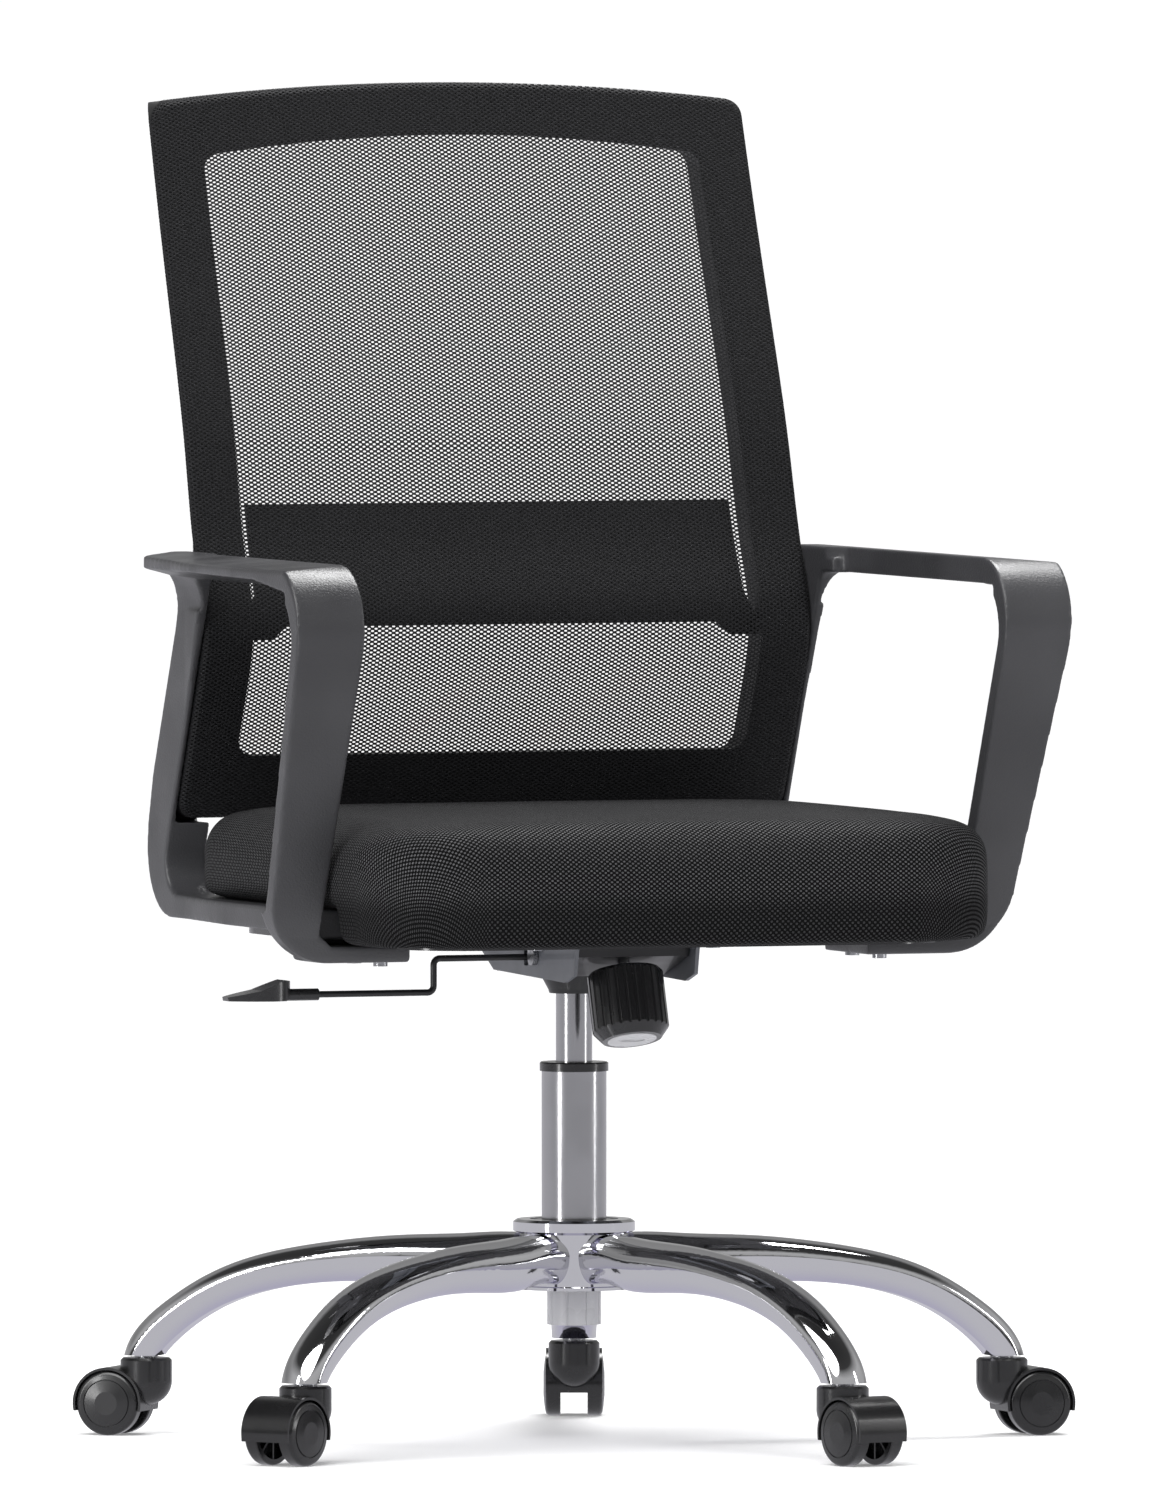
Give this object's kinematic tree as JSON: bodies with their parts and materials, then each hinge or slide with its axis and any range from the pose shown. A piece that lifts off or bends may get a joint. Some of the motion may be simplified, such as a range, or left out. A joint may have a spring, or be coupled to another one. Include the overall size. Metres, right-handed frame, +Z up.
{
  "type": "swivel office chair",
  "caption": "Swivel office chair with a mesh back, padded seat, moulded loop arms, tilt mechanism, gas lift and a chromed star base on twin-wheel casters.",
  "frame": {"origin": "on the floor under the swivel axis", "axes": "+Z up, the sitter faces -Y, the sitter's left is +X"},
  "size_m": [0.7493, 0.7747, 1.043],
  "materials": {
    "chrome_base": "polished chrome",
    "chrome_column": "satin chrome",
    "steel_parts": "bright steel",
    "grey_paint": "grey powder coat",
    "black_paint": "black powder coat",
    "arm_plastic": "fine grained moulding",
    "caster_nylon": "satin nylon",
    "black_plastic": "plain moulding",
    "frame_plastic": "plain moulding",
    "silver_plastic": "silver lacquer",
    "seat_fabric": "air-mesh knit",
    "back_fabric": "open mesh"
  },
  "bodies": {
    "base": {"base_hub": "chrome_base", "base_leg_1": "chrome_base", "base_leg_2": "chrome_base", "base_leg_3": "chrome_base", "base_leg_4": "chrome_base", "base_leg_5": "chrome_base", "hub_ring": "black_plastic", "lower_sleeve": "silver_plastic", "column_tube": "chrome_column", "column_collar": "black_plastic", "guide_bush": "black_plastic", "caster_stem_1": "steel_parts", "caster_stem_2": "steel_parts", "caster_stem_3": "steel_parts", "caster_stem_4": "steel_parts", "caster_stem_5": "steel_parts"},
    "piston": {"thrust_bearing": "steel_parts", "piston_rod": "steel_parts"},
    "mechanism": {"gas_cylinder": "chrome_column", "mechanism_housing": "black_paint", "tilt_pin": "steel_parts", "tension_bolt": "steel_parts", "tension_spring": "steel_parts"},
    "release": {"release_pin": "steel_parts"},
    "knob": {"tension_knob": "black_plastic", "knob_cap": "silver_plastic"},
    "lever_seat": {"lever_bushing": "black_plastic"},
    "lever": {"lever_rod": "black_paint", "lever_paddle": "black_plastic"},
    "seat": {"seat_bracket": "grey_paint", "seat_pan": "black_plastic", "seat_cushion": "seat_fabric", "back_mesh": "back_fabric", "back_frame": "frame_plastic", "lumbar_band": "frame_plastic", "arm_left": "arm_plastic", "arm_right": "arm_plastic", "bracket_screws": "steel_parts", "arm_screws": "steel_parts", "back_screws": "steel_parts"},
    "caster_1": {"caster_hood_1": "caster_nylon", "caster_axle_1": "steel_parts"},
    "wheel_1a": {"caster_wheel_1a": "caster_nylon"},
    "wheel_1b": {"caster_wheel_1b": "caster_nylon"},
    "caster_2": {"caster_hood_2": "caster_nylon", "caster_axle_2": "steel_parts"},
    "wheel_2a": {"caster_wheel_2a": "caster_nylon"},
    "wheel_2b": {"caster_wheel_2b": "caster_nylon"},
    "caster_3": {"caster_hood_3": "caster_nylon", "caster_axle_3": "steel_parts"},
    "wheel_3a": {"caster_wheel_3a": "caster_nylon"},
    "wheel_3b": {"caster_wheel_3b": "caster_nylon"},
    "caster_4": {"caster_hood_4": "caster_nylon", "caster_axle_4": "steel_parts"},
    "wheel_4a": {"caster_wheel_4a": "caster_nylon"},
    "wheel_4b": {"caster_wheel_4b": "caster_nylon"},
    "caster_5": {"caster_hood_5": "caster_nylon", "caster_axle_5": "steel_parts"},
    "wheel_5a": {"caster_wheel_5a": "caster_nylon"},
    "wheel_5b": {"caster_wheel_5b": "caster_nylon"}
  },
  "joints": [
    {"name": "caster_swivel_1", "type": "hinge", "parent": "base", "child": "caster_1", "pos_m": [0.12471, 0.32489, 0.06], "axis": [0, 0, 1], "continuous": true},
    {"name": "wheel_roll_1a", "type": "hinge", "parent": "caster_1", "child": "wheel_1a", "pos_m": [0.13367, 0.34823, 0.025], "axis": [0.9336, -0.3584, 0], "continuous": true},
    {"name": "wheel_roll_1b", "type": "hinge", "parent": "caster_1", "child": "wheel_1b", "pos_m": [0.13367, 0.34823, 0.025], "axis": [0.9336, -0.3584, 0], "continuous": true},
    {"name": "caster_swivel_2", "type": "hinge", "parent": "base", "child": "caster_2", "pos_m": [-0.27045, 0.219, 0.06], "axis": [0, 0, 1], "continuous": true},
    {"name": "wheel_roll_2a", "type": "hinge", "parent": "caster_2", "child": "wheel_2a", "pos_m": [-0.28987, 0.23474, 0.025], "axis": [0.6293, 0.7771, 0], "continuous": true},
    {"name": "wheel_roll_2b", "type": "hinge", "parent": "caster_2", "child": "wheel_2b", "pos_m": [-0.28987, 0.23474, 0.025], "axis": [0.6293, 0.7771, 0], "continuous": true},
    {"name": "caster_swivel_3", "type": "hinge", "parent": "base", "child": "caster_3", "pos_m": [-0.29186, -0.18953, 0.06], "axis": [0, 0, 1], "continuous": true},
    {"name": "wheel_roll_3a", "type": "hinge", "parent": "caster_3", "child": "wheel_3a", "pos_m": [-0.31282, -0.20315, 0.025], "axis": [-0.5446, 0.8387, 0], "continuous": true},
    {"name": "wheel_roll_3b", "type": "hinge", "parent": "caster_3", "child": "wheel_3b", "pos_m": [-0.31282, -0.20315, 0.025], "axis": [-0.5446, 0.8387, 0], "continuous": true},
    {"name": "caster_swivel_4", "type": "hinge", "parent": "base", "child": "caster_4", "pos_m": [0.09007, -0.33614, 0.06], "axis": [0, 0, 1], "continuous": true},
    {"name": "wheel_roll_4a", "type": "hinge", "parent": "caster_4", "child": "wheel_4a", "pos_m": [0.09654, -0.36029, 0.025], "axis": [-0.9659, -0.2588, 0], "continuous": true},
    {"name": "wheel_roll_4b", "type": "hinge", "parent": "caster_4", "child": "wheel_4b", "pos_m": [0.09654, -0.36029, 0.025], "axis": [-0.9659, -0.2588, 0], "continuous": true},
    {"name": "caster_swivel_5", "type": "hinge", "parent": "base", "child": "caster_5", "pos_m": [0.34752, -0.01821, 0.06], "axis": [0, 0, 1], "continuous": true},
    {"name": "wheel_roll_5a", "type": "hinge", "parent": "caster_5", "child": "wheel_5a", "pos_m": [0.37249, -0.01952, 0.025], "axis": [-0.0523, -0.9986, 0], "continuous": true},
    {"name": "wheel_roll_5b", "type": "hinge", "parent": "caster_5", "child": "wheel_5b", "pos_m": [0.37249, -0.01952, 0.025], "axis": [-0.0523, -0.9986, 0], "continuous": true},
    {"name": "swivel", "type": "hinge", "parent": "base", "child": "piston", "pos_m": [0, 0, 0.13], "axis": [0, 0, 1], "continuous": true},
    {"name": "seat_height", "type": "slide", "parent": "piston", "child": "mechanism", "axis": [0, 0, 1], "range_m": [-0.046, 0.055]},
    {"name": "seat_tilt", "type": "hinge", "parent": "mechanism", "child": "seat", "pos_m": [0, -0.05, 0.378], "axis": [-1, 0, 0], "range_deg": [0, 12], "stiffness_Nm_per_rad": 60, "springref_deg": -34.38},
    {"name": "tension_turn", "type": "hinge", "parent": "mechanism", "child": "knob", "pos_m": [0, -0.105, 0.375], "axis": [0, -0.309, -0.9511], "continuous": true},
    {"name": "lever_lift", "type": "hinge", "parent": "mechanism", "child": "lever_seat", "pos_m": [-0.0425, -0.03, 0.3765], "axis": [0, 1, 0], "range_deg": [0, 4.5], "stiffness_Nm_per_rad": 0.6, "springref_deg": -20.05},
    {"name": "lever_pull", "type": "slide", "parent": "lever_seat", "child": "lever", "axis": [-1, 0, 0], "range_m": [0, 0.01]},
    {"name": "pin_press", "type": "slide", "parent": "mechanism", "child": "release", "axis": [0, 0, -1], "range_m": [0, 0.0034]}
  ],
  "couplings": [
    {"joint": "pin_press", "follows": "lever_lift", "m_per_rad": 0.040744}
  ]
}
